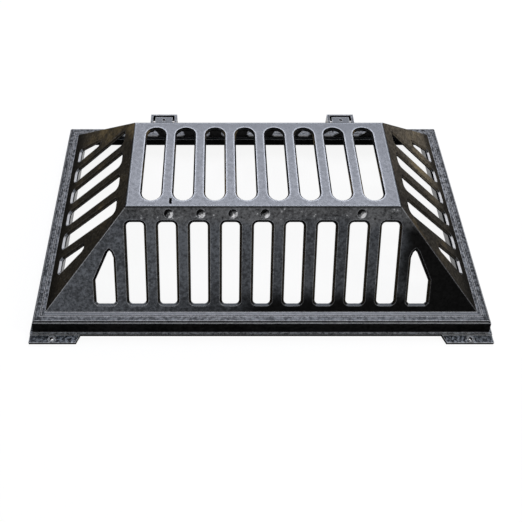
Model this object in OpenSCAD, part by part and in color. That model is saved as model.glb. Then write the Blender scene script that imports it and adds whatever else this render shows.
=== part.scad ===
// Raised drain grate: a slotted hipped hood, cast in one piece and hinged in a cast frame
// Lengths are in millimetres. Z is up from the ground and Y points to the hinge side.
// The origin is on the ground, in the middle of the footprint.

/* [Frame] */
// Length of the frame over its top edges
frame_l = 750; // [740:2:800]
// Width of the frame over its top edges
frame_w = 450; // [446:2:480]
// Height of the frame
frame_h = 33; // [33:1:36]
// Width of the rim that shows round the grate
rim_w = 9; // [8.5:0.5:10]
// Depth of the plain edge above the skirt
edge_h = 4; // [3:0.5:5]
// How far the skirt starts outside the plain edge
skirt_step = 3; // [2:0.5:4]
// How far the skirt's foot stands outside the plain edge
skirt_out = 8; // [7:0.5:9]
// How far the base lip stands outside the plain edge
lip_out = 11; // [10.5:0.5:12]
// Thickness of the base lip
lip_t = 7; // [6:0.5:8]
// Width of the ledge that the grate sits on
ledge_w = 13.5; // [11:0.5:14]
// Thickness of the ledge
ledge_t = 7; // [5:0.5:8]
// Width of the skirt's flat underside
base_w = 14; // [12:0.5:15]

/* [Front feet] */
// Distance of a foot's inner corner from the middle of the frame
foot_start = 302; // [290:1:310]
// How far the foot's inner end slants
foot_slant = 6; // [1:1:10]
// How far a foot stands out of the base lip
foot_out = 15; // [15:0.5:18]
// Thickness of a foot
foot_t = 5; // [4:0.5:6]
// Distance of a foot's hole from the middle of the frame
foot_hole_x = 348; // [335:1:355]
// Distance of a foot's hole from the base lip
foot_hole_out = 8; // [7.5:0.5:8]
// Diameter of a foot's hole
foot_hole_d = 6; // [5:0.5:8]
// Diameter of the boss round the hole
foot_boss_d = 12; // [11:0.5:13]
// Height of the boss over the foot
foot_boss_h = 1.5; // [0.5:0.5:1.5]

/* [Grate] */
// Height of the hood above the frame
hood_h = 137; // [120:1:145]
// Length of the flat top
plate_l = 434; // [424:1:440]
// Width of the flat top
plate_w = 190; // [188:1:200]
// Thickness of the flat top
plate_t = 7; // [5:0.5:8]
// Thickness of the sloping walls
wall_t = 5; // [4.5:0.5:6]
// Radius round the edges of the flat top
plate_r = 4; // [2:0.5:5]
// Gap between grate and rim
rim_gap = 1.2; // [1:0.1:1.5]
// Width of the flat border that shows outside the slopes
border_show = 6.5; // [6:0.5:8]
// Width of the whole border bar
border_w = 21; // [19:0.5:23]
// Depth of the border bar
border_h = 15; // [14:0.5:16]
// Draft of the border bar, from its top to its underside
border_draft = 1.5; // [1.5:0.1:2]
// Gap between the border bar and the ledge under it
seat_gap = 0.3; // [0.2:0.1:0.5]

/* [Slots] */
// Distance between neighbouring slots in the top, front and rear
slot_pitch = 51; // [50:0.5:52]
// Number of slots in the flat top
top_count = 8; // [4:1:8]
// Width of a top slot, at its narrowest
top_slot_w = 31; // [24:1:32]
// Length of a top slot, at its narrowest
top_slot_l = 161; // [140:1:164]
// Number of whole slots in the front and rear slopes
front_count = 9; // [7:2:9]
// Width of a front slot, at its narrowest
front_slot_w = 28; // [24:1:30]
// Lower margin of a front slot, measured up the slope
front_low = 14.5; // [13:0.5:18]
// Upper margin of a front slot, measured down from the flat top
front_high = 26; // [22:1:30]
// Distance between neighbouring slots in a side slope
side_pitch = 52; // [50:0.5:53]
// Number of whole slots in each side slope
side_count = 4; // [2:2:4]
// Width of a side slot, at its narrowest
side_slot_w = 28; // [24:1:30]
// How far the side slots sit towards the hinges
side_shift = 3; // [0:0.5:3]
// Lower margin of a side slot, measured up the slope
side_low = 20; // [17:1:26]
// Upper margin of a side slot, measured down from the flat top
side_high = 31; // [27:1:36]
// Corner radius of the slots in the slopes
slot_corner = 6.5; // [4:0.5:8]
// Width of the chamfer on the outer edge of a top slot
top_edge_w = 2.5; // [1.5:0.25:3]
// Width of the chamfer on the outer edge of an opening in the slopes
slope_edge_w = 4; // [2:0.25:4.5]
// Depth of those chamfers
slot_edge_h = 2.75; // [1.5:0.25:3]
// How much an opening widens towards the inside, on each side
slot_flare = 1.5; // [0.5:0.25:2]

/* [Corner openings] */
// Width of the pointed opening at each end of the front and rear slopes
corner_w = 31; // [24:1:33]
// Height of its outer edge, as a share of the slope
corner_outer = 0.31; // [0.25:0.01:0.34]
// Height of its tip, as a share of the slope
corner_tip = 0.59; // [0.5:0.01:0.6]
// Width of the short side slot at its foot
short_foot_w = 28; // [24:1:30]
// Width of the short side slot at its head
short_head_w = 11; // [8:1:13]
// Height of the short side slot, measured up the slope
short_top = 86; // [70:1:90]

/* [Casting marks] */
// Width of the round scars above the front slots, where the gates were broken off
scar_w = 15; // [10:1:16]
// Depth of a scar
scar_depth = 2.2; // [0.6:0.2:2.6]
// Distance of the scars' middles below the flat top, measured down the slope
scar_down = 12; // [11:0.5:13]
// How far the scars sit to the right of their slots' middles
scar_aside = 3; // [0:0.5:5]

/* [Hinge] */
// Distance of each hinge from the middle of the frame
hinge_x = 185.5; // [150:0.5:220]
// Width of a hinge ear
ear_w = 55; // [53:1:60]
// Thickness of an ear's cheeks
cheek_t = 5; // [4:0.5:6]
// How far an ear stands out behind the frame's top edge
ear_out = 44; // [44:0.5:46]
// Height of the ear's underside above the ground
ear_low = 5; // [4:1:8]
// Width of a tongue
tongue_w = 36; // [32:1:38]
// How far a tongue reaches behind the hinge axis
tongue_tail = 9; // [8:0.5:9]
// Diameter of a hinge pin
pin_d = 10; // [9:0.5:10]
// Distance of the hinge axis behind the frame's top edge
pin_back = 28; // [27.5:0.25:28]
// Depth of the hinge axis below the frame's top
pin_down = 9.5; // [9.5:0.25:10]
// Chamfer on the ends of a hinge pin
pin_chamfer = 1; // [0.5:0.5:1.5]
// Diameter of the hole in the top of a tongue
tongue_hole_d = 7; // [6.5:0.5:8]
// Depth of the hole in the top of a tongue
tongue_hole_h = 3; // [2:0.5:3]
// Diameter of the spring pin that holds a hinge pin in its tongue
spring_pin_d = 4; // [3:0.5:4]
// Wall of the spring pin
spring_pin_wall = 0.75; // [0.5:0.25:1]

/* [Hidden] */
$fn = 48;
eps = 1;
pin_clear = 0.05;
scar_slots = [2, 3, 4, 5, 8];
nick_at = [-147, -84];
nick_size = [1.6, 9, 2];
cast_black = [0.17, 0.17, 0.18];
plate_black = [0.24, 0.25, 0.28];
steel = [0.55, 0.56, 0.58];

// Half sizes of the frame at its top edge, and how far in the parts of the grate lie
half_l = frame_l / 2;
half_w = frame_w / 2;
ledge_z = frame_h - border_h - seat_gap;
ledge_in = rim_w + ledge_w;
border_in = rim_w + rim_gap;
slope_in = border_in + border_show;

// Slopes of the hood, measured from its flat border to its flat top
front_run = half_w - slope_in - plate_w / 2;
side_run = half_l - slope_in - plate_l / 2;
front_angle = atan2(hood_h, front_run);
side_angle = atan2(hood_h, side_run);
front_slope = norm([front_run, hood_h]);
side_slope = norm([side_run, hood_h]);

// Hinge axis, its tongue, and the pocket in each ear
pin_y = half_w + pin_back;
pin_z = frame_h - pin_down;
knuckle_r = pin_down - 1;
pocket_w = ear_w - 2 * cheek_t;
pocket_end = pin_y + norm([tongue_tail, knuckle_r]) + 0.4;
ear_end = half_w + ear_out;
lip_end = half_w + lip_out;

// Moves the frame's middle so that the footprint's middle is on the origin
centre_y = (lip_end + foot_out - ear_end) / 2;

// A section with its two upper corners sloped in
module trapezoid(low, high, h) {
    polygon([[-low, 0], [low, 0], [high, h], [-high, h]]);
}

// The same section with its two upper corners rounded
module soft_trapezoid(low, high, h, r) {
    angle = atan2(h, low - high);
    back = r * tan(angle / 2);
    cut = [high + back * cos(angle), h - back * sin(angle)];
    polygon([[-low, 0], [low, 0], cut, [high - back, h], [back - high, h], [-cut.x, cut.y]]);
    for (side = [-1, 1])
        translate([side * (high - back), h - r]) circle(r);
}

// A block whose four sides slope, from half sizes at its foot to half sizes at its head
module frustum(low, high, z, h) {
    translate([0, 0, z])
        intersection() {
            rotate([90, 0, 0])
                linear_extrude(height = 2 * max(low.y, high.y) + eps, center = true)
                    trapezoid(low.x, high.x, h);
            rotate([90, 0, 90])
                linear_extrude(height = 2 * max(low.x, high.x) + eps, center = true)
                    trapezoid(low.y, high.y, h);
        }
}

// Half sizes of a rectangle set in from the frame's top edge
function set_in(d) = [half_l - d, half_w - d];

module ring_block(d, z, h) {
    translate([0, 0, z + h / 2])
        cube([2 * set_in(d).x, 2 * set_in(d).y, h], center = true);
}

// Places children at both hinges, or at both feet
module both_sides(x) {
    for (side = [-1, 1])
        translate([side * x, 0, 0]) children();
}

// Profile in the plane across a hinge, extruded along the hinge axis
module across(w) {
    rotate([90, 0, 90]) linear_extrude(height = w, center = true) children();
}

module rod(d, l) {
    rotate([0, 90, 0]) cylinder(d = d, h = l, center = true);
}

module foot() {
    lip = lip_end - eps;
    linear_extrude(height = foot_t)
        polygon([[foot_start, -lip], [foot_start + foot_slant, -lip_end - foot_out],
                 [half_l + lip_out, -lip_end - foot_out], [half_l + lip_out, -lip]]);
    translate([foot_hole_x, -lip_end - foot_hole_out, 0])
        cylinder(d = foot_boss_d, h = foot_t + foot_boss_h);
}

module feet() {
    foot();
    mirror([1, 0, 0]) foot();
}

module ear() {
    across(ear_w)
        polygon([[half_w, ear_low + 4], [half_w + lip_out, ear_low], [ear_end - 10, ear_low],
                 [ear_end, ear_low + 10], [ear_end, frame_h], [half_w, frame_h]]);
}

// Pocket of an ear: a notch through the rim, and a well that is open at the bottom
module ear_pocket() {
    across(pocket_w) {
        polygon([[half_w - rim_w - eps, ledge_z], [pocket_end, ledge_z],
                 [pocket_end, frame_h + eps], [half_w - rim_w - eps, frame_h + eps]]);
        polygon([[lip_end + eps, -eps], [pocket_end, -eps],
                 [pocket_end, ledge_z + eps], [lip_end + eps, ledge_z + eps]]);
    }
    translate([0, pin_y, pin_z]) rod(pin_d + 2 * pin_clear, ear_w + 2 * eps);
}

// Hollow under the ledge, inside the skirt
module underside() {
    foot_in = base_w - lip_out;
    under_h = ledge_z - ledge_t;
    spread = (rim_w - foot_in) / under_h * eps;
    frustum(set_in(foot_in - spread), set_in(rim_w), -eps, under_h + eps);
}

module frame() {
    color(cast_black)
        translate([0, centre_y, 0])
            difference() {
                union() {
                    ring_block(0, 0, frame_h);
                    frustum(set_in(-skirt_out - eps / 4), set_in(-skirt_step), 0, frame_h - edge_h);
                    ring_block(-lip_out, 0, lip_t);
                    feet();
                    both_sides(hinge_x) ear();
                }
                ring_block(rim_w, ledge_z, frame_h);
                ring_block(ledge_in, -eps, frame_h);
                underside();
                both_sides(hinge_x) ear_pocket();
                both_sides(foot_hole_x)
                    translate([0, -lip_end - foot_hole_out, -eps])
                        cylinder(d = foot_hole_d, h = frame_h);
            }
}

// Side of an opening in section: a chamfered outer edge over a wall that widens inwards
function edge_points(half, depth, edge_w) = [
    [half + slot_flare, -depth], [half, -slot_edge_h], [half + edge_w, 0], [half + edge_w, eps]];

module half_section(half, depth, edge_w) {
    polygon([each edge_points(half, depth, edge_w), [0, eps], [0, -depth]]);
}

module full_section(half, depth, edge_w) {
    for (side = [0, 1])
        mirror([side, 0]) half_section(half, depth, edge_w);
}

// Space of one slot, centred on the origin, with the outer surface at z = 0
module slot(w, l, corner, depth, edge_w) {
    round_end = corner >= w / 2;
    rotate([90, 0, 0])
        linear_extrude(height = l - 2 * corner, center = true) full_section(w / 2, depth, edge_w);
    if (!round_end)
        rotate([90, 0, 90])
            linear_extrude(height = w - 2 * corner, center = true) full_section(l / 2, depth, edge_w);
    for (x = round_end ? [0] : [-1, 1], y = [-1, 1])
        translate([x * (w / 2 - corner), y * (l / 2 - corner), 0])
            rotate_extrude() half_section(corner, depth, edge_w);
}

// Space of a straight-sided opening: each side, taken anticlockwise, cuts it with its own section
module opening(points, depth) {
    far = frame_w;
    intersection_for (i = [0 : len(points) - 1]) {
        along = points[(i + 1) % len(points)] - points[i];
        translate([points[i].x, points[i].y, 0])
            rotate([90, 0, atan2(along.y, along.x) - 90])
                linear_extrude(height = far, center = true)
                    polygon([each edge_points(0, depth, slope_edge_w), [-far, eps], [-far, -depth]]);
    }
}

// Repeats children along x, centred on the origin
module row(count, pitch) {
    for (i = [0 : count - 1])
        translate([(i - (count - 1) / 2) * pitch, 0, 0]) children();
}

module top_slots() {
    translate([0, 0, frame_h + hood_h])
        row(top_count, slot_pitch)
            slot(top_slot_w, top_slot_l, top_slot_w / 2, plate_t + eps, top_edge_w);
}

// Pointed opening beside the last front slot, with its corners cut off
module corner_opening() {
    near = (front_count + 1) / 2 * slot_pitch - front_slot_w / 2;
    far = near + corner_w;
    low = front_low;
    cut = 3;
    outer = corner_outer * front_slope;
    tip = corner_tip * front_slope;
    opening([[near, low + cut], [near + cut, low], [far - cut, low], [far, low + cut],
             [far, outer], [near + 3 * cut, tip - cut], [near + 2 * cut, tip],
             [near + cut, tip - cut], [near, tip - 4 * cut]], wall_t + eps);
}

// Slots in the front slope, whose foot lies along x
module front_slots() {
    reach = front_slope - front_low - front_high;
    translate([0, front_low + reach / 2, 0])
        row(front_count, slot_pitch)
            slot(front_slot_w, reach, slot_corner, wall_t + eps, slope_edge_w);
    corner_opening();
    mirror([1, 0, 0]) corner_opening();
}

// Short slot under a hip, whose outer edge follows the hip
module short_slot() {
    near = (side_count + 1) / 2 * side_pitch - side_slot_w / 2;
    low = side_low + 2;
    cut = 3;
    opening([[near, low + cut], [near + cut, low], [near + short_foot_w - cut, low],
             [near + short_foot_w, low + cut], [near + short_head_w, short_top - cut],
             [near + short_head_w - cut, short_top], [near + cut, short_top],
             [near, short_top - cut]], wall_t + eps);
}

// Slots in a side slope, shifted along its foot
module side_slots(shift) {
    reach = side_slope - side_low - side_high;
    translate([shift, side_low + reach / 2, 0])
        row(side_count, side_pitch)
            slot(side_slot_w, reach, slot_corner, wall_t + eps, slope_edge_w);
    for (side = [0, 1])
        translate([shift, 0, 0]) mirror([side, 0, 0]) short_slot();
}

// Round scars on the front slope, each above one of its slots
module gate_scars() {
    r = (pow(scar_w / 2, 2) + pow(scar_depth, 2)) / (2 * scar_depth);
    for (number = scar_slots)
        translate([(number - (front_count + 1) / 2) * slot_pitch + scar_aside,
                   front_slope - scar_down, r - scar_depth])
            sphere(r);
}

// Small nick in the flat top, beside the end of a slot
module nick() {
    translate([nick_at.x, nick_at.y, frame_h + hood_h]) cube(nick_size, center = true);
}

// Places children on a slope: x along its foot, y up the slope and z out of it
module on_slope(turn, foot, angle) {
    rotate([0, 0, turn])
        translate([0, -foot, frame_h]) rotate([angle, 0, 0]) children();
}

module hood_shell() {
    outer = set_in(slope_in);
    inner_top = hood_h - plate_t;
    inner = [outer.x - wall_t / sin(side_angle), outer.y - wall_t / sin(front_angle)];
    difference() {
        translate([0, 0, frame_h])
            intersection() {
                rotate([90, 0, 0])
                    linear_extrude(height = frame_w, center = true)
                        soft_trapezoid(outer.x, plate_l / 2, hood_h, plate_r);
                rotate([90, 0, 90])
                    linear_extrude(height = frame_l, center = true)
                        soft_trapezoid(outer.y, plate_w / 2, hood_h, plate_r);
            }
        frustum(inner, inner - inner_top * [1 / tan(side_angle), 1 / tan(front_angle)],
                frame_h, inner_top);
    }
}

// Border bar round the foot of the hood, drafted so that it swings clear of the rim
module border_bar() {
    difference() {
        frustum(set_in(border_in + border_draft), set_in(border_in), frame_h - border_h, border_h);
        ring_block(border_in + border_w, frame_h - border_h - eps, border_h + 2 * eps);
    }
}

// Tongue that runs from the border bar to the hinge pin
module tongue() {
    root = half_w - border_in - border_w / 2;
    top = pin_z + knuckle_r;
    across(tongue_w) {
        polygon([[root, frame_h - border_h], [pin_y, frame_h - border_h], [pin_y + knuckle_r / 2, pin_z],
                 [pin_y + tongue_tail, top - tongue_tail / 2], [pin_y + tongue_tail, top], [root, top]]);
        translate([pin_y, pin_z]) circle(knuckle_r);
    }
}

module tongue_bores() {
    translate([0, pin_y, 0]) {
        translate([0, 0, pin_z]) rod(pin_d, tongue_w + 2 * eps);
        cylinder(d = spring_pin_d, h = frame_h);
        translate([0, 0, pin_z + knuckle_r - tongue_hole_h])
            cylinder(d = tongue_hole_d, h = tongue_hole_h + eps);
    }
}

module grate() {
    color(plate_black)
        translate([0, centre_y, 0])
            difference() {
                union() {
                    hood_shell();
                    border_bar();
                    both_sides(hinge_x) tongue();
                }
                top_slots();
                for (turn = [0, 180])
                    on_slope(turn, half_w - slope_in, front_angle) front_slots();
                for (side = [-1, 1])
                    on_slope(side * 90, half_l - slope_in, side_angle) side_slots(side * side_shift);
                on_slope(0, half_w - slope_in, front_angle) gate_scars();
                nick();
                both_sides(hinge_x) tongue_bores();
            }
}

// Steel rod through both cheeks and the tongue, with a cross bore for its spring pin
module hinge_pin(x) {
    color(steel)
        translate([x, centre_y + pin_y, pin_z])
            difference() {
                rotate([0, 90, 0]) {
                    cylinder(d = pin_d, h = ear_w - 2 * pin_chamfer, center = true);
                    for (end = [0, 1])
                        mirror([0, 0, end])
                            translate([0, 0, ear_w / 2 - pin_chamfer])
                                cylinder(d1 = pin_d, d2 = pin_d - 2 * pin_chamfer, h = pin_chamfer);
                }
                cylinder(d = spring_pin_d, h = 2 * pin_d, center = true);
            }
}

// Slit tube of spring steel, driven down through the tongue and the hinge pin
module spring_pin(x) {
    top = pin_z + knuckle_r - tongue_hole_h;
    bottom = pin_z - knuckle_r + eps;
    color(steel)
        translate([x, centre_y + pin_y, bottom])
            difference() {
                cylinder(d = spring_pin_d, h = top - bottom);
                translate([0, 0, -eps])
                    cylinder(d = spring_pin_d - 2 * spring_pin_wall, h = top - bottom + 2 * eps);
                translate([-spring_pin_wall / 2, 0, -eps])
                    cube([spring_pin_wall, spring_pin_d, top - bottom + 2 * eps]);
            }
}

frame();
grate();
hinge_pin(-hinge_x);  // hinge_pin_left
hinge_pin(hinge_x);  // hinge_pin_right
spring_pin(-hinge_x);  // spring_pin_left
spring_pin(hinge_x);  // spring_pin_right
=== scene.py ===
"""Dresses the raised drain grate in its black paint and looks at it from where the photograph was taken."""

import logging
import math
from dataclasses import dataclass
from enum import Enum

import bpy
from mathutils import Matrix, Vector

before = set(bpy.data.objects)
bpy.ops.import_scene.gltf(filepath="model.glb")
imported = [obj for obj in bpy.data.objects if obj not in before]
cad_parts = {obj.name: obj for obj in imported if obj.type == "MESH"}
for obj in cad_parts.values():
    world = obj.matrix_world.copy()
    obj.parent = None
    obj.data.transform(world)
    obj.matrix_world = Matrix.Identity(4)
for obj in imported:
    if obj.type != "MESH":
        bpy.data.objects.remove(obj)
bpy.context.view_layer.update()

LOG = logging.getLogger("drain_grate")

Colour = tuple[float, float, float, float]
Point = tuple[float, float, float]
Span = tuple[float, float]
Socket = bpy.types.NodeSocket


def mm(value: float) -> float:
    """Turns millimetres into Blender's metres."""
    return value / 1000.0


def grey(level: float, warmth: float = 0.0) -> Colour:
    """Makes a linear grey that leans to brown where warmth is above 0 and to blue where it is below."""
    return (level * (1 + warmth), level * (1 + 0.2 * warmth), level * (1 - warmth), 1.0)


class NodeSheet:
    """Adds nodes to one node tree and joins them."""

    def __init__(self, tree: bpy.types.NodeTree) -> None:
        """Takes the node tree that is filled and empties it."""
        self.tree = tree
        tree.nodes.clear()

    def add(self, kind: str, settings: dict | None = None, **sockets: object) -> bpy.types.Node:
        """Adds one node, sets its options and fills its sockets.

        Args:
            kind: the node's type, without the leading ShaderNode.
            settings: options of the node itself.
            **sockets: input name with underscores for spaces, and a value or an output socket.

        Returns:
            The new node.
        """
        node = self.tree.nodes.new("ShaderNode" + kind)
        for name, value in (settings or {}).items():
            setattr(node, name, value)
        for name, value in sockets.items():
            self.feed(node, name.replace("_", " "), value)
        return node

    def feed(self, node: bpy.types.Node, name: str | int, value: object) -> None:
        """Puts a value or a link into one input.

        Args:
            node: the node that takes it.
            name: the input's name or number.
            value: a number, a colour, or an output socket of another node.
        """
        socket = node.inputs[name]
        if isinstance(value, Socket):
            self.tree.links.new(value, socket)
        else:
            socket.default_value = value

    def math(self, operation: str, *values: object) -> Socket:
        """Adds a Math node.

        Args:
            operation: the node's operation.
            *values: its inputs in order.

        Returns:
            The result socket.
        """
        node = self.add("Math", {"operation": operation})
        for number, value in enumerate(values):
            self.feed(node, number, value)
        return node.outputs[0]

    def all_of(self, *shares: object) -> Socket:
        """Multiplies shares, so that the result is 1 only where all of them are.

        Args:
            *shares: the shares.

        Returns:
            Their product.
        """
        product = shares[0]
        for share in shares[1:]:
            product = self.math("MULTIPLY", product, share)
        return product

    def rest_of(self, share: object) -> Socket:
        """Gives what is left of 1 beside a share."""
        return self.math("SUBTRACT", 1.0, share)

    def band(self, value: object, low: float, high: float, start: float = 0.0,
             end: float = 1.0) -> Socket:
        """Maps a value smoothly from one range to another.

        Args:
            value: the socket that is read.
            low: where the result is start.
            high: where the result is end.
            start: the result at low.
            end: the result at high.

        Returns:
            The mapped value.
        """
        node = self.add("MapRange", {"interpolation_type": "SMOOTHSTEP"})
        for number, item in enumerate((value, low, high, start, end)):
            self.feed(node, number, item)
        return node.outputs[0]

    def mix(self, share: object, first: object, second: object) -> Socket:
        """Blends two colours.

        The Mix node has several sockets of one name, so they are reached by their numbers.

        Args:
            share: how much of the second colour is used.
            first: the first colour.
            second: the second colour.

        Returns:
            The blended colour.
        """
        node = self.add("Mix", {"data_type": "RGBA"})
        self.feed(node, 0, share)
        self.feed(node, 6, first)
        self.feed(node, 7, second)
        return node.outputs[2]

    def blend(self, share: object, first: object, second: object) -> Socket:
        """Blends two numbers.

        Args:
            share: how much of the second number is used.
            first: the first number.
            second: the second number.

        Returns:
            The blended number.
        """
        node = self.add("Mix", {"data_type": "FLOAT"})
        self.feed(node, 0, share)
        self.feed(node, 2, first)
        self.feed(node, 3, second)
        return node.outputs[0]

    def noise(self, where: object, scale: float, detail: float = 3.0,
              roughness: float = 0.55) -> Socket:
        """Adds a noise of so many waves a metre and octaves, whose value is about 0.5 on average."""
        node = self.add("TexNoise", Vector=where, Scale=scale, Detail=detail, Roughness=roughness)
        return node.outputs["Fac"]


class Face(Enum):
    """The kinds of face that the paint tells apart on the two castings."""

    LEVEL = "faces that look straight up"
    LEDGE = "level faces round the foot of the hood"
    LOW = "level faces of the base lip and the feet"
    SIDE_RIM = "level faces along the short sides and the rear"
    # Walls and undersides get the near-black coat of painted shade.
    WALL = "walls and undersides"
    LEFT = "left slope"
    RIGHT = "right slope"
    # Where the rear part of the right slope is painted lighter as light.
    LIT_RIGHT_REAR = "rear part of the right slope"
    SLOPES = "everything on the hood that isn't level"
    LONG_SIDES = "everything but the left and right slopes"
    # Where the front slope is painted almost black as shade, and where its upper edge is painted lighter as
    # light.
    SHADED_FRONT_RIGHT = "dark right part of the front slope"
    LIT_FRONT_HEAD = "upper edge of the front slope"
    DUSTY = "part of the side slopes where dust lies"
    # Where the foot of the side slopes is painted darker as shade.
    SHADED_SIDE_FOOT = "foot of the side slopes"
    PLATE = "flat top with its slots' outer edges"
    # The chamfers of the top slots get painted shade.
    SHADED_SLOT_EDGE = "chamfers of the top slots"
    # The slot ends that look to the middle get painted light.
    LIT_INNER_END = "slot ends that look to the middle"
    # The lower chamfers of the side slots get painted light.
    LIT_SIDE_END = "lower chamfers of the side slots"
    # The inner faces of the border bar's short sides get painted light.
    LIT_LINING = "inner faces of the border bar's short sides"
    SCAR_LIT = "lit part of the scars"
    SCAR_DARK = "shaded part of the scars"
    # The nick and the line round the edge of the flat top are painted dark as shade.
    NICK_AND_LINE_SHADE = "the nick, and the line round the flat top where paint has gathered"
    # The floors of the holes in the tongues are painted dark as shade.
    SHADED_HOLE_FLOOR = "floors of the holes in the tongues"
    # The outer edges of the rim's short sides are painted dark as shade.
    SHADED_RIM_EDGE = "outer edges of the rim's short sides"


Faces = dict[Face, Socket]


@dataclass(frozen=True)
class CastPlaces:
    """Where the kinds of face begin and end on the castings, in metres along the object's own axes.

    The pairs that FaceFinder.near reads are a middle and a reach. Every other pair is where a kind starts
    and where it ends or is whole.
    """

    lip_top: float = mm(10.0)
    bar_low: float = mm(17.0)
    rim_low: float = mm(28.0)
    frame_top: float = mm(34.0)
    slopes_top: float = mm(165.0)
    plate_low: float = mm(167.1)
    plate_x: float = mm(205.0)
    plate_y: float = mm(86.5)
    hood_y: float = mm(-9.0)
    middle_blur: float = mm(10.0)
    border_x: float = mm(358.3)
    rim_edge_x: Span = (mm(372.2), mm(373.4))
    rear_rim_y: Span = (mm(203.0), mm(13.5))
    ears_y: float = mm(230.0)
    hole_floor_z: Span = (mm(29.0), mm(0.5))
    plate_line_z: Span = (mm(169.0), mm(0.5))
    nick_x: Span = (mm(-147.0), mm(2.2))
    nick_y: Span = (mm(-93.0), mm(6.0))
    side_end_x: float = mm(330.0)
    side_end_z: Span = (mm(45.0), mm(9.0))
    scar_z: Span = (mm(153.5), mm(167.2))
    scar_y: Span = (mm(-125.0), mm(-103.0))
    foot_z: Span = (mm(60.0), mm(40.0))
    dust_z: Span = (mm(45.0), mm(100.0))
    dark_z: Span = (mm(45.0), mm(75.0))
    dark_corner_x: Span = (mm(190.0), mm(250.0))
    dark_leaning_x: Span = (mm(-360.0), mm(0.0))
    head_z: Span = (mm(140.0), mm(160.0))
    right_rear_y: Span = (mm(-120.0), mm(160.0))


@dataclass(frozen=True)
class CastTurns:
    """How far the normal of a face points up, along or across where the face is of one kind or another.

    A pair is where a kind starts and where it is whole. The scars are read from their tilt: the normal's
    part across times scar_across, its part up times scar_up, and scar_level added.
    """

    level: Span = (0.86, 0.97)
    half_level: float = 0.5
    wall_shade: Span = (0.5, 0.3)
    right: Span = (0.4, 0.55)
    left: Span = (-0.4, -0.55)
    inward: Span = (0.2, 0.35)
    squarely: Span = (0.6, 0.8)
    slot_edge_shade: Span = (0.95, 0.85)
    slot_end: Span = (0.35, 0.5)
    clean_end: Span = (0.6, 0.4)
    front: float = -0.3
    scar_across: float = -0.6
    scar_up: float = 0.8
    scar_level: float = -0.51
    scar_lit: Span = (0.09, 0.2)
    scar_dark: Span = (-0.06, -0.18)


@dataclass(frozen=True)
class Fraying:
    """How far the noise moves the borders between kinds of face, in metres or in parts of the normal.

    Three values do something else: lean is how much of the height is added to x where the border of the
    dark part is read, head_share is how far the upper edge's coat covers, and dark_share is what is left of
    the dark coat above the foot.
    """

    lean: float = -1.5
    leaning: float = 0.4
    corner: float = 0.1
    rear: float = 0.2
    head: float = 0.05
    scar: float = 0.8
    head_share: float = 0.9
    dark_share: float = 0.4


@dataclass(frozen=True)
class CastNoise:
    """The castings' noise patterns: waves a metre, number of octaves and strength of the finer ones."""

    mottle: Point = (190.0, 5.0, 0.7)
    cloud: Point = (11.0, 3.0, 0.55)
    speckle: Point = (360.0, 3.0, 0.65)


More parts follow.
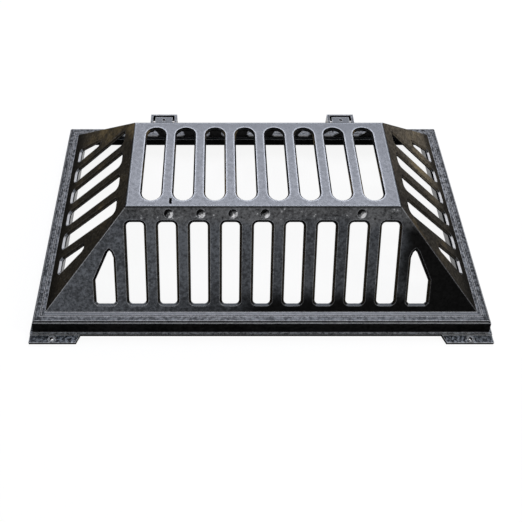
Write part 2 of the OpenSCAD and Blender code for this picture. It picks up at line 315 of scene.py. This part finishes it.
class FaceFinder:
    """Tells the kinds of face apart by where they look and where they lie."""

    def __init__(self, sheet: NodeSheet) -> None:
        """Adds the coordinates and the noise patterns.

        Args:
            sheet: the node sheet of the paint.
        """
        self.sheet = sheet
        self.places = CastPlaces()
        self.turns = CastTurns()
        self.frays = Fraying()
        source = sheet.add("TexCoord")
        where = source.outputs["Object"]
        self.across, self.along, self.up = sheet.add("SeparateXYZ", Vector=source.outputs["Normal"]).outputs
        self.x, self.y, self.z = sheet.add("SeparateXYZ", Vector=where).outputs
        self.far_x = sheet.math("ABSOLUTE", self.x)
        patterns = CastNoise()
        self.mottle = sheet.noise(where, *patterns.mottle)
        self.cloud = sheet.noise(where, *patterns.cloud)
        self.speckle = sheet.noise(where, *patterns.speckle)

    def find(self) -> Faces:
        """Finds every kind of face.

        Returns:
            One share for each kind of face.
        """
        faces = self.level_faces()
        faces.update(self.slopes(faces[Face.LEVEL]))
        faces.update(self.openings(faces[Face.LEVEL]))
        faces.update(self.marks())
        return faces

    def level_faces(self) -> Faces:
        """Finds the flat top, the border and the lip.

        Returns:
            Their shares.
        """
        sheet, places = self.sheet, self.places
        level = sheet.band(self.up, *self.turns.level)
        ledge = sheet.all_of(level, self.below(self.z, places.frame_top))
        border = sheet.math("MAXIMUM", self.above(self.far_x, places.border_x),
                            self.near(self.y, *places.rear_rim_y))
        shaded_rim_edge = sheet.all_of(sheet.band(self.far_x, *places.rim_edge_x),
                                self.above(self.z, places.rim_low))
        return {
            Face.LEVEL: level,
            Face.LEDGE: ledge,
            Face.LOW: sheet.all_of(level, self.below(self.z, places.lip_top)),
            Face.SIDE_RIM: sheet.all_of(ledge, border),
            Face.SHADED_RIM_EDGE: shaded_rim_edge,
            Face.WALL: sheet.band(self.up, *self.turns.wall_shade),
            Face.PLATE: self.above(self.z, places.plate_low),
        }

    def slopes(self, level: Socket) -> Faces:
        """Finds the slopes of the hood, their dusty parts, and the parts painted lighter or darker as light
        and shade.

        Args:
            level: the share of faces that look up.

        Returns:
            Their shares.
        """
        sheet, places, turns, frays = self.sheet, self.places, self.turns, self.frays
        left = sheet.band(self.across, *turns.left)
        right = sheet.band(self.across, *turns.right)
        sides = sheet.math("MAXIMUM", left, right)
        leaning = sheet.math("MULTIPLY_ADD", self.z, frays.lean, self.x)
        leaning = self.frayed(leaning, self.cloud, frays.leaning)
        corner = self.frayed(self.x, self.cloud, frays.corner)
        rear = self.frayed(self.y, self.cloud, frays.rear)
        head = self.frayed(self.z, self.cloud, frays.head)
        dark = sheet.all_of(sheet.band(leaning, *places.dark_leaning_x),
                            sheet.band(self.z, *places.dark_z, 1.0, frays.dark_share))
        ends = sheet.band(sheet.math("ABSOLUTE", self.along), *turns.clean_end)
        not_level = self.below(level, turns.half_level)
        return {
            Face.LEFT: left,
            Face.RIGHT: right,
            Face.LIT_RIGHT_REAR: sheet.all_of(right, sheet.band(rear, *places.right_rear_y)),
            Face.SLOPES: sheet.all_of(not_level, self.above(self.z, places.frame_top)),
            Face.LONG_SIDES: sheet.all_of(sheet.rest_of(left), sheet.rest_of(right)),
            Face.SHADED_FRONT_RIGHT: sheet.math("MAXIMUM", sheet.band(corner, *places.dark_corner_x), dark),
            Face.LIT_FRONT_HEAD: sheet.band(head, *places.head_z, 0.0, frays.head_share),
            Face.DUSTY: sheet.all_of(sides, sheet.band(self.z, *places.dust_z), ends),
            Face.SHADED_SIDE_FOOT: sheet.all_of(sides, sheet.band(self.z, *places.foot_z)),
        }

    def openings(self, level: Socket) -> Faces:
        """Finds the faces in and round the slots.

        Args:
            level: the share of faces that look up.

        Returns:
            Their shares.
        """
        sheet, places, turns = self.sheet, self.places, self.turns
        inward = self.inward()
        from_middle = sheet.math("ABSOLUTE", sheet.math("ADD", self.y, -places.hood_y))
        in_plate = sheet.all_of(self.above(self.z, places.plate_low), self.below(self.far_x, places.plate_x),
                                self.below(from_middle, places.plate_y))
        in_slopes = sheet.all_of(self.above(self.z, places.frame_top), self.below(self.z, places.slopes_top))
        in_bar = sheet.all_of(self.below(self.z, places.frame_top), self.above(self.z, places.bar_low))
        squarely = sheet.all_of(sheet.band(inward, *turns.squarely),
                                sheet.band(sheet.math("ABSOLUTE", self.across), *turns.squarely))
        side_end_light = sheet.all_of(self.near(self.z, *places.side_end_z),
                                self.above(self.far_x, places.side_end_x))
        return {
            Face.SHADED_SLOT_EDGE: sheet.all_of(in_plate, sheet.band(self.up, *turns.slot_edge_shade)),
            Face.LIT_INNER_END: sheet.all_of(sheet.band(inward, *turns.inward), in_slopes,
                                         sheet.band(self.up, *turns.slot_end)),
            Face.LIT_SIDE_END: sheet.all_of(level, side_end_light),
            Face.LIT_LINING: sheet.all_of(squarely, in_bar),
            Face.SHADED_HOLE_FLOOR: sheet.all_of(self.near(self.z, *places.hole_floor_z),
                                          self.above(self.y, places.ears_y)),
        }

    def marks(self) -> Faces:
        """Finds the scars, the nick and the line round the flat top.

        Returns:
            Their shares.
        """
        sheet, places, turns = self.sheet, self.places, self.turns
        level_part = sheet.math("MULTIPLY_ADD", self.up, turns.scar_up, turns.scar_level)
        tilt = sheet.math("MULTIPLY_ADD", self.across, turns.scar_across, level_part)
        tilt = self.frayed(tilt, self.mottle, self.frays.scar)
        zone = sheet.all_of(self.between(self.z, *places.scar_z), self.between(self.y, *places.scar_y),
                            self.below(self.along, turns.front))
        nick = sheet.all_of(self.near(self.x, *places.nick_x), self.near(self.y, *places.nick_y))
        return {
            Face.SCAR_LIT: sheet.all_of(zone, sheet.band(tilt, *turns.scar_lit)),
            Face.SCAR_DARK: sheet.all_of(zone, sheet.band(tilt, *turns.scar_dark)),
            Face.NICK_AND_LINE_SHADE: sheet.math("MAXIMUM", self.near(self.z, *places.plate_line_z), nick),
        }

    def inward(self) -> Socket:
        """Tells how far a face looks to the middle of the hood.

        Returns:
            1 where it looks straight at it and -1 where it looks away.
        """
        sheet, blur, hood_y = self.sheet, self.places.middle_blur, self.places.hood_y
        side_x = sheet.band(self.x, -blur, blur, -1.0, 1.0)
        side_y = sheet.band(self.y, hood_y - blur, hood_y + blur, -1.0, 1.0)
        outward = sheet.math("MULTIPLY_ADD", self.along, side_y, sheet.math("MULTIPLY", self.across, side_x))
        return sheet.math("MULTIPLY", outward, -1.0)

    def above(self, value: Socket, level: float) -> Socket:
        """Gives 1 where a value is above a level."""
        return self.sheet.math("GREATER_THAN", value, level)

    def below(self, value: Socket, level: float) -> Socket:
        """Gives 1 where a value is below a level."""
        return self.sheet.math("LESS_THAN", value, level)

    def between(self, value: Socket, low: float, high: float) -> Socket:
        """Gives 1 where a value is between two levels."""
        return self.sheet.all_of(self.above(value, low), self.below(value, high))

    def near(self, value: Socket, middle: float, reach: float) -> Socket:
        """Gives 1 where a value is no further than the reach from the middle."""
        return self.sheet.math("COMPARE", value, middle, reach)

    def frayed(self, value: Socket, noise: Socket, amount: float) -> Socket:
        """Moves a value to and fro by the noise, so that what is read from it has a ragged border."""
        return self.sheet.math("MULTIPLY_ADD", noise, amount, self.sheet.math("ADD", value, -0.5 * amount))


@dataclass(frozen=True)
class Coat:
    """How the paint looks on one kind of face, often painted light or shade; its gloss is the shader's
    specular level.
    """

    colour: Colour
    gloss: float
    roughness: float


@dataclass(frozen=True)
class CastPaint:
    """Thin black bitumen paint over sand-cast iron.

    The flat faces that look up are smoothed by wear and glossier, and the slopes keep the dull paint with
    some brown dust on the sides. Light and shade are painted into the coats: the front slope is painted
    lighter on the left and at its upper edge and almost black on the right, the side slopes darker
    brown-black with the rear of the right slope lighter, the walls, undersides and top slots' chamfers
    almost black, and the inner slot ends and the side slots' lower chamfers pale. Highlights are painted
    along the edges, which are partly bare from wear, and shade on the nick, the line round the flat top, the
    hole floors, the rim's outer edges and the foot of the side slopes.
    """

    name: str
    top: Coat = Coat(grey(0.048, -0.2), 0.5, 0.30)
    ledge: Coat = Coat(grey(0.055, -0.15), 0.5, 0.34)
    low: Coat = Coat(grey(0.050, -0.2), 0.38, 0.4)
    # The front slope is one black paint in lit and shaded copies: painted light on the left and at the upper
    # edge, painted shade on the right.
    front_left_light: Coat = Coat(grey(0.064, -0.1), 0.12, 0.5)
    front_right_shade: Coat = Coat(grey(0.002), 0.03, 0.6)
    front_head_light: Coat = Coat(grey(0.065, -0.02), 0.12, 0.5)
    # The side slopes are painted darker brown-black as shade, and the rear part of the right slope is
    # painted lighter as light.
    side_left_shade: Coat = Coat(grey(0.0075, 0.4), 0.02, 0.6)
    side_right_shade: Coat = Coat(grey(0.010, 0.25), 0.02, 0.6)
    side_rear_light: Coat = Coat(grey(0.042, 0.25), 0.02, 0.6)
    # The slot ends that look to the middle are painted light grey as light.
    inner_end_light: Coat = Coat(grey(0.32), 0.6, 0.35)
    # The inner faces of the border bar's short sides are painted lighter than the other walls as light, in a
    # glossy coat.
    lining_light: Coat = Coat(grey(0.08), 1.0, 0.2)
    # The chamfers of the top slots are painted almost black as shade.
    slot_edge_shade: Coat = Coat(grey(0.006), 0.04, 0.6)
    # The lower chamfers of the side slots are painted pale as light.
    side_end_light: Coat = Coat(grey(0.4), 0.5, 0.35)
    scar_lit: Coat = Coat(grey(0.45), 0.3, 0.45)
    # The black paint made darker still as painted shade on walls and undersides; the same coat paints shade
    # on the scars' shaded parts, the nick, the hole floors and the rim's outer edges.
    wall_shade: Coat = Coat(grey(0.003), 0.01, 0.9)
    # Lighter colour of edges where the paint is partly bare from wear, partly a painted highlight.
    wear_and_highlight: Colour = grey(0.30, -0.03)
    wear_and_highlight_gloss: float = 0.5
    dust: Colour = grey(0.075, 0.5)
    dust_cloud: Span = (0.48, 0.66)
    dust_share: float = 0.4
    speck: Colour = grey(0.16, -0.05)
    speck_span: Span = (0.60, 0.72)
    speck_share: float = 0.35
    dark_span: Span = (0.3, 0.9)
    dark_wear_and_highlight: float = 0.4
    cloud_share: float = 0.3
    shade_span: Span = (0.38, 0.62)
    shade_range: Span = (0.4, 1.6)
    # How much darker the foot of the side slopes is painted as shade.
    painted_foot_shade: float = 0.3
    crust_span: Span = (0.44, 0.60)
    crust_range: Span = (0.15, 2.2)
    scale_span: Span = (0.44, 0.58)
    scale_range: Span = (0.25, 1.25)
    patchy: float = 0.04
    smooth: float = 0.8
    dull_span: Span = (0.3, 0.7)
    dull_range: Span = (0.08, -0.06)
    grain: float = 0.5
    top_grain: float = 0.12
    fine_grain: float = 0.5
    grain_depth: float = mm(0.6)
    edge_radius: float = mm(0.8)
    edge_samples: int = 6
    wear_and_highlight_radius: float = mm(2.5)
    wear_and_highlight_turn: Span = (0.999, 0.96)
    wear_and_highlight_span: Span = (0.3, 0.6)
    wear_and_highlight_range: Span = (0.3, 1.0)
    side_wear_and_highlight: float = 0.15
    # Painted highlight along the edges of the flat top.
    plate_highlight: Colour = grey(0.34, -0.08)
    plate_highlight_radius: float = mm(5.0)
    plate_highlight_turn: Span = (0.9995, 0.985)
    wear_and_highlight_samples: int = 8

    def material(self) -> bpy.types.Material:
        """Builds the node material.

        Returns:
            The finished material.
        """
        made = bpy.data.materials.new(self.name)
        made.use_nodes = True
        sheet = NodeSheet(made.node_tree)
        finder = FaceFinder(sheet)
        faces = finder.find()
        colour, gloss, rough = self.lay_coats(sheet, faces)
        colour = self.soil(finder, faces, colour)
        crust = sheet.band(finder.mottle, *self.crust_span, *self.crust_range)
        scale = sheet.band(finder.mottle, *self.scale_span, *self.scale_range)
        colour = self.shade(finder, faces, colour, crust, scale)
        # Painted highlights: a pale band along the flat top's edges, and lighter edges that are partly bare
        # from wear.
        rubbed_and_highlit = self.rubbed_and_highlit_edges(finder, faces)
        colour = sheet.mix(self.plate_highlight_share(sheet, faces), colour, self.plate_highlight)
        colour = sheet.mix(rubbed_and_highlit, colour, self.wear_and_highlight)
        gloss = sheet.blend(rubbed_and_highlit, gloss, self.wear_and_highlight_gloss)
        gloss = sheet.math("MULTIPLY", gloss, self.patches(finder, faces, crust, scale))
        rough = sheet.math("ADD", rough, sheet.band(finder.mottle, *self.dull_span, *self.dull_range))
        shader = sheet.add("BsdfPrincipled", Base_Color=colour, Roughness=rough,
                           Normal=self.rough_skin(finder, faces))
        sheet.feed(shader, "Specular IOR Level", gloss)
        out = sheet.add("OutputMaterial")
        sheet.feed(out, "Surface", shader.outputs[0])
        return made

    def lay_coats(self, sheet: NodeSheet, faces: Faces) -> tuple[Socket, Socket, Socket]:
        """Lays each kind of face's coat over the one before; most coats are painted light or painted shade.

        Args:
            sheet: the node sheet.
            faces: the kinds of face.

        Returns:
            The colour, the gloss and the roughness.
        """
        layers = (
            (Face.SHADED_FRONT_RIGHT, self.front_right_shade), (Face.LIT_FRONT_HEAD, self.front_head_light),
            (Face.LEFT, self.side_left_shade), (Face.RIGHT, self.side_right_shade), (Face.LIT_RIGHT_REAR, self.side_rear_light),
            (Face.LEVEL, self.top), (Face.LEDGE, self.ledge), (Face.LOW, self.low), (Face.WALL, self.wall_shade),
            (Face.SHADED_SLOT_EDGE, self.slot_edge_shade), (Face.LIT_INNER_END, self.inner_end_light), (Face.LIT_LINING, self.lining_light),
            # The shaded parts of the scars, the nick, the hole floors and the rim's outer edges take the
            # near-black coat as painted shade.
            (Face.LIT_SIDE_END, self.side_end_light), (Face.SCAR_LIT, self.scar_lit), (Face.SCAR_DARK, self.wall_shade),
            (Face.NICK_AND_LINE_SHADE, self.wall_shade), (Face.SHADED_HOLE_FLOOR, self.wall_shade), (Face.SHADED_RIM_EDGE, self.wall_shade),
        )
        # Every face starts from the front slope's painted-light coat.
        colour, gloss, rough = self.front_left_light.colour, self.front_left_light.gloss, self.front_left_light.roughness
        for face, coat in layers:
            colour = sheet.mix(faces[face], colour, coat.colour)
            gloss = sheet.blend(faces[face], gloss, coat.gloss)
            rough = sheet.blend(faces[face], rough, coat.roughness)
        return colour, gloss, rough

    def soil(self, finder: FaceFinder, faces: Faces, colour: Socket) -> Socket:
        """Adds brown dust on the sides and pale specks on the slopes.

        Args:
            finder: holds the noise patterns.
            faces: the kinds of face.
            colour: the colour that is soiled.

        Returns:
            The soiled colour.
        """
        sheet = finder.sheet
        clouds = sheet.band(finder.cloud, *self.dust_cloud, 0.0, self.dust_share)
        dusty = sheet.all_of(faces[Face.DUSTY], clouds, sheet.rest_of(faces[Face.LEVEL]))
        colour = sheet.mix(dusty, colour, self.dust)
        specks = sheet.all_of(sheet.band(finder.speckle, *self.speck_span, 0.0, self.speck_share),
                              faces[Face.SLOPES],
                              sheet.band(faces[Face.SHADED_FRONT_RIGHT], *self.dark_span, 1.0, 0.0))
        return sheet.mix(specks, colour, self.speck)

    def shade(self, finder: FaceFinder, faces: Faces, colour: Socket, crust: Socket,
              scale: Socket) -> Socket:
        """Makes the colour lighter and darker from place to place, and darkens the side slopes' foot as
        painted shade.

        Args:
            finder: holds the noise patterns.
            faces: the kinds of face.
            colour: the colour that is shaded.
            crust: the strong pattern of the lip and the feet.
            scale: the pattern of the rim.

        Returns:
            The shaded colour.
        """
        sheet = finder.sheet
        level = faces[Face.LEVEL]
        both = sheet.blend(self.cloud_share, finder.mottle, finder.cloud)
        shade = sheet.band(both, *self.shade_span, *self.shade_range)
        shade = sheet.blend(sheet.math("MULTIPLY", level, self.smooth), shade, 1.0)
        # The foot of the side slopes is darkened as painted shade.
        shade = sheet.math("MULTIPLY", shade, sheet.blend(faces[Face.SHADED_SIDE_FOOT], 1.0, self.painted_foot_shade))
        shade = sheet.blend(faces[Face.LOW], shade, crust)
        shade = sheet.blend(faces[Face.SIDE_RIM], shade, scale)
        shaded = sheet.add("VectorMath", {"operation": "SCALE"})
        sheet.feed(shaded, 0, colour)
        sheet.feed(shaded, "Scale", shade)
        return shaded.outputs[0]

    def patches(self, finder: FaceFinder, faces: Faces, crust: Socket, scale: Socket) -> Socket:
        """Makes the gloss uneven.

        Args:
            finder: holds the noise patterns.
            faces: the kinds of face.
            crust: the strong pattern of the lip and the feet.
            scale: the pattern of the rim.

        Returns:
            What the gloss is multiplied by.
        """
        sheet = finder.sheet
        patch = sheet.band(finder.mottle, *self.shade_span, 1.0 - self.patchy, 1.0 + self.patchy)
        patch = sheet.blend(faces[Face.LOW], patch, crust)
        return sheet.blend(faces[Face.SIDE_RIM], patch, scale)

    def rough_skin(self, finder: FaceFinder, faces: Faces) -> Socket:
        """Rounds the edges a little and adds the grain of the sand mould.

        Args:
            finder: holds the noise patterns.
            faces: the kinds of face.

        Returns:
            The normal that the shader takes.
        """
        sheet = finder.sheet
        soft = sheet.add("Bevel", {"samples": self.edge_samples}, Radius=self.edge_radius)
        height = sheet.math("MULTIPLY_ADD", finder.speckle, self.fine_grain, finder.mottle)
        strength = sheet.blend(faces[Face.LEVEL], self.grain, self.top_grain)
        bump = sheet.add("Bump", Height=height, Distance=self.grain_depth, Strength=strength,
                         Normal=soft.outputs["Normal"])
        return bump.outputs[0]

    def edge_share(self, sheet: NodeSheet, radius: float, turn: Span) -> Socket:
        """Tells how close a point is to an edge.

        Args:
            sheet: the node sheet.
            radius: how far from the edge it reaches.
            turn: agreement of rounded and true normal at which it starts and is whole.

        Returns:
            0 away from edges and 1 at an edge.
        """
        wide = sheet.add("Bevel", {"samples": self.wear_and_highlight_samples}, Radius=radius)
        true = sheet.add("NewGeometry")
        agreement = sheet.add("VectorMath", {"operation": "DOT_PRODUCT"})
        sheet.feed(agreement, 0, wide.outputs["Normal"])
        sheet.feed(agreement, 1, true.outputs["Normal"])
        return sheet.band(agreement.outputs["Value"], *turn)

    def plate_highlight_share(self, sheet: NodeSheet, faces: Faces) -> Socket:
        """Finds the painted highlight along the edges of the flat top, with the nick and its line left out.
        """
        edge = self.edge_share(sheet, self.plate_highlight_radius, self.plate_highlight_turn)
        return sheet.all_of(edge, faces[Face.LEVEL], faces[Face.PLATE], sheet.rest_of(faces[Face.NICK_AND_LINE_SHADE]))

    def rubbed_and_highlit_edges(self, finder: FaceFinder, faces: Faces) -> Socket:
        """Finds the edges where the paint is partly bare from wear and partly painted lighter as a
        highlight.

        Args:
            finder: holds the noise patterns.
            faces: the kinds of face.

        Returns:
            How far the paint is bare and the edge painted lighter.
        """
        sheet = finder.sheet
        edge = self.edge_share(sheet, self.wear_and_highlight_radius, self.wear_and_highlight_turn)
        broken = sheet.band(finder.speckle, *self.wear_and_highlight_span, *self.wear_and_highlight_range)
        on_sides = sheet.band(faces[Face.LONG_SIDES], 0.0, 1.0, self.side_wear_and_highlight, 1.0)
        dark = sheet.band(faces[Face.SHADED_FRONT_RIGHT], *self.dark_span, 1.0, self.dark_wear_and_highlight)
        in_dark = sheet.blend(faces[Face.SLOPES], 1.0, dark)
        return sheet.all_of(edge, broken, on_sides, in_dark, sheet.rest_of(faces[Face.WALL]),
                            sheet.rest_of(faces[Face.SHADED_SLOT_EDGE]), sheet.rest_of(faces[Face.NICK_AND_LINE_SHADE]))


@dataclass(frozen=True)
class PinSteel:
    """Plain steel that has dulled outdoors."""

    name: str
    colour: Colour = grey(0.32, 0.03)
    roughness: float = 0.42
    stained: Colour = grey(0.08, 0.25)
    stain_scale: float = 160.0
    stain_detail: float = 4.0
    stain_span: Span = (0.45, 0.7)
    dull_span: Span = (0.3, 0.7)
    dull_change: Span = (-0.05, 0.2)
    pit_depth: float = mm(0.2)
    pit_strength: float = 0.4

    def material(self) -> bpy.types.Material:
        """Builds the node material.

        Returns:
            The finished material.
        """
        made = bpy.data.materials.new(self.name)
        made.use_nodes = True
        sheet = NodeSheet(made.node_tree)
        where = sheet.add("TexCoord").outputs["Object"]
        stain = sheet.noise(where, self.stain_scale, self.stain_detail)
        colour = sheet.mix(sheet.band(stain, *self.stain_span), self.colour, self.stained)
        rough = sheet.math("ADD", self.roughness, sheet.band(stain, *self.dull_span, *self.dull_change))
        bump = sheet.add("Bump", Height=stain, Distance=self.pit_depth, Strength=self.pit_strength)
        shader = sheet.add("BsdfPrincipled", Base_Color=colour, Metallic=1.0, Roughness=rough,
                           Normal=bump.outputs[0])
        out = sheet.add("OutputMaterial")
        sheet.feed(out, "Surface", shader.outputs[0])
        return made


def dress(node: str, material: bpy.types.Material) -> None:
    """Gives a CAD node its material.

    Args:
        node: the node's name.
        material: the finish that it wears.
    """
    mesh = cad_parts[node].data
    if not mesh.materials:
        mesh.materials.append(material)
    for number in range(len(mesh.materials)):
        mesh.materials[number] = material


@dataclass
class HoodGrate:
    """The slotted hood with its border and tongues."""

    paint: CastPaint = CastPaint("grate black paint")

    def build(self) -> None:
        """Dresses the casting."""
        dress("grate", self.paint.material())


@dataclass
class GullyFrame:
    """The frame with its skirt, front feet and hinge ears."""

    paint: CastPaint = CastPaint("frame black paint", top=Coat(grey(0.030, -0.15), 0.45, 0.38),
                                 ledge=Coat(grey(0.040, -0.15), 0.44, 0.38), patchy=0.6, smooth=0.0,
                                 grain=0.6, top_grain=0.9)

    def build(self) -> None:
        """Dresses the casting."""
        dress("frame", self.paint.material())


@dataclass
class HingePins:
    """The two hinge pins and their spring pins."""

    steel: PinSteel = PinSteel("hinge pin steel")
    spring: PinSteel = PinSteel("spring pin steel", grey(0.2), 0.5)

    def build(self) -> None:
        """Dresses the pins."""
        pin, spring = self.steel.material(), self.spring.material()
        for side in ("left", "right"):
            dress("hinge_pin_" + side, pin)
            dress("spring_pin_" + side, spring)


@dataclass(frozen=True)
class Lamp:
    """A rectangular lamp: where it hangs, what it points at, its size, power in watts and colour."""

    name: str
    place: Point
    target: Point
    size: Span
    watts: float
    colour: Point

    def hang(self) -> None:
        """Hangs the lamp."""
        bpy.ops.object.light_add(type="AREA", location=self.place)
        lamp = bpy.context.object
        lamp.name = self.name
        lamp.data.shape = "RECTANGLE"
        lamp.data.size, lamp.data.size_y = self.size
        lamp.data.energy = self.watts
        lamp.data.color = self.colour
        aim = Vector(self.target) - Vector(self.place)
        lamp.rotation_euler = aim.to_track_quat("-Z", "Y").to_euler()


@dataclass
class Studio:
    """Floor, sky and lamps."""

    floor_size: float = 40.0
    floor_colour: Colour = grey(0.9)
    white: Colour = grey(1.0)
    ambient: float = 0.45
    floor_glow: float = 0.9
    sky_panel: Lamp = Lamp("sky panel", (0.14, 1.15, 1.85), (0.0, 0.0, 0.17), (2.0, 1.1), 49.0,
                           (0.86, 0.88, 1.0))
    right_lamp: Lamp = Lamp("right lamp", (1.9, -0.5, 1.5), (0.0, 0.0, 0.1), (0.7, 0.7), 20.0,
                            (1.0, 0.98, 0.95))
    left_panel: Lamp = Lamp("left panel", (-1.2, -1.7, 0.75), (0.0, -0.1, 0.1), (0.8, 0.8), 8.0,
                            (0.95, 0.95, 1.0))

    def build(self) -> None:
        """Builds the surroundings."""
        self.lay_floor()
        self.fill_world()
        for lamp in (self.sky_panel, self.right_lamp, self.left_panel):
            lamp.hang()

    def lay_floor(self) -> None:
        """Lays a pale floor that keeps the shadow."""
        bpy.ops.mesh.primitive_plane_add(size=self.floor_size, location=(0.0, 0.0, 0.0))
        floor = bpy.context.object
        floor.name = "floor"
        made = bpy.data.materials.new("pale floor")
        made.use_nodes = True
        sheet = NodeSheet(made.node_tree)
        share = sheet.math("MULTIPLY", self.seen(sheet), self.floor_glow)
        matt = sheet.add("BsdfDiffuse", Color=self.floor_colour)
        glow = sheet.add("Emission", Color=self.white, Strength=1.0)
        both = sheet.add("MixShader")
        sheet.feed(both, 0, share)
        sheet.feed(both, 1, matt.outputs[0])
        sheet.feed(both, 2, glow.outputs[0])
        out = sheet.add("OutputMaterial")
        sheet.feed(out, "Surface", both.outputs[0])
        floor.data.materials.append(made)

    @staticmethod
    def seen(sheet: NodeSheet) -> Socket:
        """Tells the rays that should meet a white background from the rest.

        Args:
            sheet: the node sheet that the test goes on.

        Returns:
            1 for camera, glossy and transmission rays, and 0 for the others.
        """
        path = sheet.add("LightPath")
        rays = sheet.math("ADD", path.outputs["Is Camera Ray"], path.outputs["Is Glossy Ray"])
        rays = sheet.math("ADD", rays, path.outputs["Is Transmission Ray"])
        return sheet.math("MINIMUM", rays, 1.0)

    def fill_world(self) -> None:
        """Makes the sky: white where it is seen, and dimmer where it only lights."""
        world = bpy.data.worlds.new("sky")
        bpy.context.scene.world = world
        world.use_nodes = True
        sheet = NodeSheet(world.node_tree)
        strength = sheet.blend(self.seen(sheet), self.ambient, 1.0)
        sky = sheet.add("Background", Color=self.white, Strength=strength)
        out = sheet.add("OutputWorld")
        sheet.feed(out, "Surface", sky.outputs[0])


@dataclass
class PhotoCamera:
    """The camera where the photograph was taken: its place, how far it looks down and its lens."""

    place: Point = (mm(-70.6), mm(-699.4), mm(890.0))
    pitch: float = 55.7
    sensor: float = 36.0
    lens: float = 40.74
    shift: float = 0.0812
    reach: Span = (0.05, 100.0)

    def build(self) -> None:
        """Sets up the camera."""
        bpy.ops.object.camera_add(location=self.place)
        camera = bpy.context.object
        camera.rotation_euler = (math.radians(90.0 - self.pitch), 0.0, 0.0)
        camera.data.sensor_width = self.sensor
        camera.data.lens = self.lens
        camera.data.shift_x = self.shift
        camera.data.clip_start, camera.data.clip_end = self.reach
        bpy.context.scene.camera = camera


def main() -> None:
    """Builds everything in order and reports each piece."""
    logging.basicConfig(level=logging.INFO, format="%(name)s: %(message)s")
    bpy.ops.object.select_all(action="DESELECT")
    bpy.context.scene.view_settings.view_transform = "Standard"
    for part in (HoodGrate(), GullyFrame(), HingePins(), Studio(), PhotoCamera()):
        part.build()
        LOG.info("built %s", type(part).__name__)


if __name__ == "__main__":
    main()
